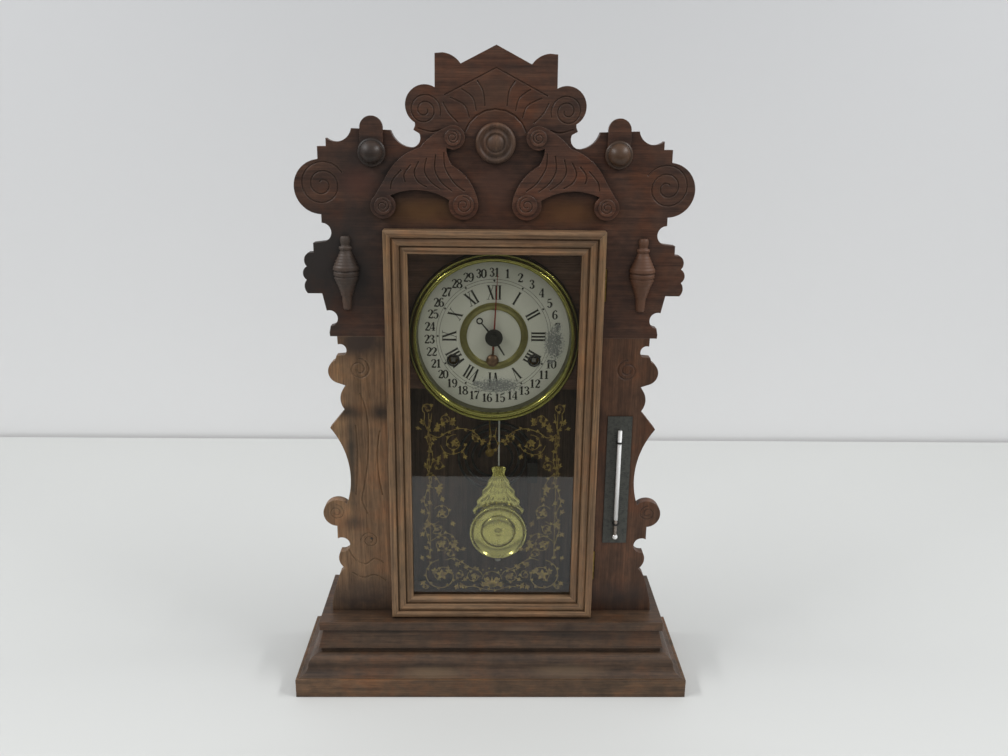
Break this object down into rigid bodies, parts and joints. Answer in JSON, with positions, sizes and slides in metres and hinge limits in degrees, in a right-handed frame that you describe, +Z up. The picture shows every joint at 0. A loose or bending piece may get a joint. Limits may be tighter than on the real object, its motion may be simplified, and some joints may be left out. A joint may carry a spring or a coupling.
{
  "type": "calendar clock",
  "caption": "Fretted walnut parlour shelf clock: glazed hinged door, white dial with date ring and calendar hand, brass bob pendulum, coil gong and a thermometer on the side board.",
  "frame": {"origin": "floor under the middle of the base", "axes": "+Z up, the dial and door face -Y, +X to the right as seen from the front"},
  "size_m": [0.384, 0.118, 0.61],
  "materials": {
    "walnut": "aged dark varnish, satin",
    "door_walnut": "aged varnish, satin",
    "case_pine": "dull stained softwood",
    "printed_tin": "worn matt paint",
    "clear_glass": "polished",
    "aged_brass": "tarnished, part polished",
    "arbor_steel": "plain",
    "spring_steel": "blued, oiled",
    "cast_iron": "black paint",
    "dial_enamel": "worn white paint",
    "black_hand": "satin black",
    "red_hand": "faded red"
  },
  "bodies": {
    "case": {"base_bottom_board": "walnut", "base_moulding": "walnut", "base_top_board": "walnut", "crest_board": "walnut", "left_side_board": "walnut", "right_side_board": "walnut", "crest_rosette": "walnut", "left_scroll": "walnut", "right_scroll": "walnut", "crest_tabs": "walnut", "ball_bosses": "walnut", "split_spindles": "walnut", "case_sides": "case_pine", "case_top": "case_pine", "back_board": "case_pine", "dial_board": "case_pine", "thermometer_plate": "printed_tin", "thermometer_tube": "clear_glass", "dial_bezel": "aged_brass", "dial_centre_ring": "aged_brass", "front_plate": "aged_brass", "back_plate": "aged_brass", "case_hinge_leaves": "aged_brass", "thermometer_staples": "aged_brass", "plate_pillars": "arbor_steel", "mainsprings": "spring_steel", "gong_coil": "spring_steel", "gong_base": "cast_iron", "dial_pan": "dial_enamel"},
    "door": {"door_left_stile": "door_walnut", "door_right_stile": "door_walnut", "door_top_rail": "door_walnut", "door_bottom_rail": "door_walnut", "door_glass": "clear_glass", "glazing_beads": "door_walnut", "door_hinge_leaves": "aged_brass", "door_catch": "aged_brass"},
    "pendulum": {"pendulum_rod": "arbor_steel", "pendulum_ornament": "aged_brass", "pendulum_bob": "aged_brass"},
    "verge": {"verge": "arbor_steel"},
    "centre_arbor": {"centre_arbor": "arbor_steel", "minute_hand": "black_hand"},
    "minute_wheel": {"minute_wheel": "aged_brass"},
    "hour_wheel": {"hour_wheel": "aged_brass", "hour_hand": "black_hand"},
    "calendar_drive": {"calendar_drive_wheel": "aged_brass"},
    "calendar_wheel": {"calendar_wheel": "aged_brass", "calendar_hand": "red_hand"},
    "escape_wheel": {"escape_wheel": "aged_brass"},
    "third_wheel": {"third_wheel": "aged_brass"},
    "centre_wheel": {"centre_wheel": "aged_brass"},
    "second_wheel": {"second_wheel": "aged_brass"},
    "time_great_wheel": {"time_great_wheel": "aged_brass"},
    "time_winding_arbor": {"time_winding_arbor": "arbor_steel"},
    "strike_great_wheel": {"strike_great_wheel": "aged_brass"},
    "strike_winding_arbor": {"strike_winding_arbor": "arbor_steel"},
    "strike_pin_wheel": {"strike_pin_wheel": "aged_brass"},
    "strike_fly": {"strike_fly": "aged_brass"},
    "hammer": {"strike_hammer": "aged_brass"}
  },
  "joints": [
    {"name": "door_hinge", "type": "hinge", "parent": "case", "child": "door", "pos_m": [0.1009, -0.01315, 0.2627], "axis": [0, 0, 1], "range_deg": [0, 90]},
    {"name": "pendulum_swing", "type": "hinge", "parent": "case", "child": "pendulum", "pos_m": [0.006, 0.01, 0.3969], "axis": [0, 1, 0], "range_deg": [-4, 4]},
    {"name": "verge_rock", "type": "hinge", "parent": "case", "child": "verge", "pos_m": [0.006, 0.0125, 0.3969], "axis": [0, 1, 0], "range_deg": [-4, 4]},
    {"name": "minute_hand_turn", "type": "hinge", "parent": "case", "child": "centre_arbor", "pos_m": [0, 0, 0.3524], "axis": [0, 1, 0], "continuous": true},
    {"name": "minute_wheel_turn", "type": "hinge", "parent": "case", "child": "minute_wheel", "pos_m": [-0.012, 0.007, 0.3524], "axis": [0, 1, 0], "continuous": true},
    {"name": "hour_hand_turn", "type": "hinge", "parent": "case", "child": "hour_wheel", "pos_m": [0, 0, 0.3524], "axis": [0, 1, 0], "continuous": true},
    {"name": "calendar_drive_turn", "type": "hinge", "parent": "case", "child": "calendar_drive", "pos_m": [-0.00431, 0.004, 0.34056], "axis": [0, 1, 0], "continuous": true},
    {"name": "calendar_hand_turn", "type": "hinge", "parent": "case", "child": "calendar_wheel", "pos_m": [0, 0, 0.3524], "axis": [0, 1, 0], "continuous": true},
    {"name": "escape_wheel_turn", "type": "hinge", "parent": "case", "child": "escape_wheel", "pos_m": [0.006, 0.012, 0.3784], "axis": [0, 1, 0], "continuous": true},
    {"name": "third_wheel_turn", "type": "hinge", "parent": "case", "child": "third_wheel", "pos_m": [-0.00839, 0.03, 0.37033], "axis": [0, 1, 0], "continuous": true},
    {"name": "centre_wheel_turn", "type": "hinge", "parent": "case", "child": "centre_wheel", "pos_m": [0, 0.03, 0.3524], "axis": [0, 1, 0], "continuous": true},
    {"name": "second_wheel_turn", "type": "hinge", "parent": "case", "child": "second_wheel", "pos_m": [0.0245, 0.03, 0.35591], "axis": [0, 1, 0], "continuous": true},
    {"name": "time_great_wheel_turn", "type": "hinge", "parent": "case", "child": "time_great_wheel", "pos_m": [0.0384, 0.031, 0.3289], "axis": [0, 1, 0], "continuous": true},
    {"name": "time_winding_turn", "type": "hinge", "parent": "case", "child": "time_winding_arbor", "pos_m": [0.0384, 0.02, 0.3289], "axis": [0, 1, 0], "continuous": true},
    {"name": "strike_great_wheel_turn", "type": "hinge", "parent": "case", "child": "strike_great_wheel", "pos_m": [-0.0384, 0.031, 0.3289], "axis": [0, 1, 0], "continuous": true},
    {"name": "strike_winding_turn", "type": "hinge", "parent": "case", "child": "strike_winding_arbor", "pos_m": [-0.0384, 0.02, 0.3289], "axis": [0, 1, 0], "continuous": true},
    {"name": "strike_pin_wheel_turn", "type": "hinge", "parent": "case", "child": "strike_pin_wheel", "pos_m": [-0.04367, 0.03, 0.35881], "axis": [0, 1, 0], "continuous": true},
    {"name": "strike_fly_turn", "type": "hinge", "parent": "case", "child": "strike_fly", "pos_m": [-0.03542, 0.03, 0.3731], "axis": [0, 1, 0], "continuous": true},
    {"name": "hammer_lift", "type": "hinge", "parent": "case", "child": "hammer", "pos_m": [-0.004, 0.0345, 0.3184], "axis": [0, 1, 0], "range_deg": [-6, 0]}
  ],
  "couplings": [
    {"joint": "verge_rock", "follows": "pendulum_swing", "ratio": 1},
    {"joint": "minute_wheel_turn", "follows": "minute_hand_turn", "ratio": -0.33333},
    {"joint": "hour_hand_turn", "follows": "minute_hand_turn", "ratio": 0.083333},
    {"joint": "calendar_drive_turn", "follows": "minute_hand_turn", "ratio": -0.041667},
    {"joint": "third_wheel_turn", "follows": "escape_wheel_turn", "ratio": -0.1},
    {"joint": "centre_wheel_turn", "follows": "escape_wheel_turn", "ratio": 0.01},
    {"joint": "second_wheel_turn", "follows": "escape_wheel_turn", "ratio": -0.0066667},
    {"joint": "time_great_wheel_turn", "follows": "escape_wheel_turn", "ratio": 0.00083333},
    {"joint": "strike_great_wheel_turn", "follows": "strike_pin_wheel_turn", "ratio": -0.125},
    {"joint": "strike_fly_turn", "follows": "strike_pin_wheel_turn", "ratio": -9}
  ]
}
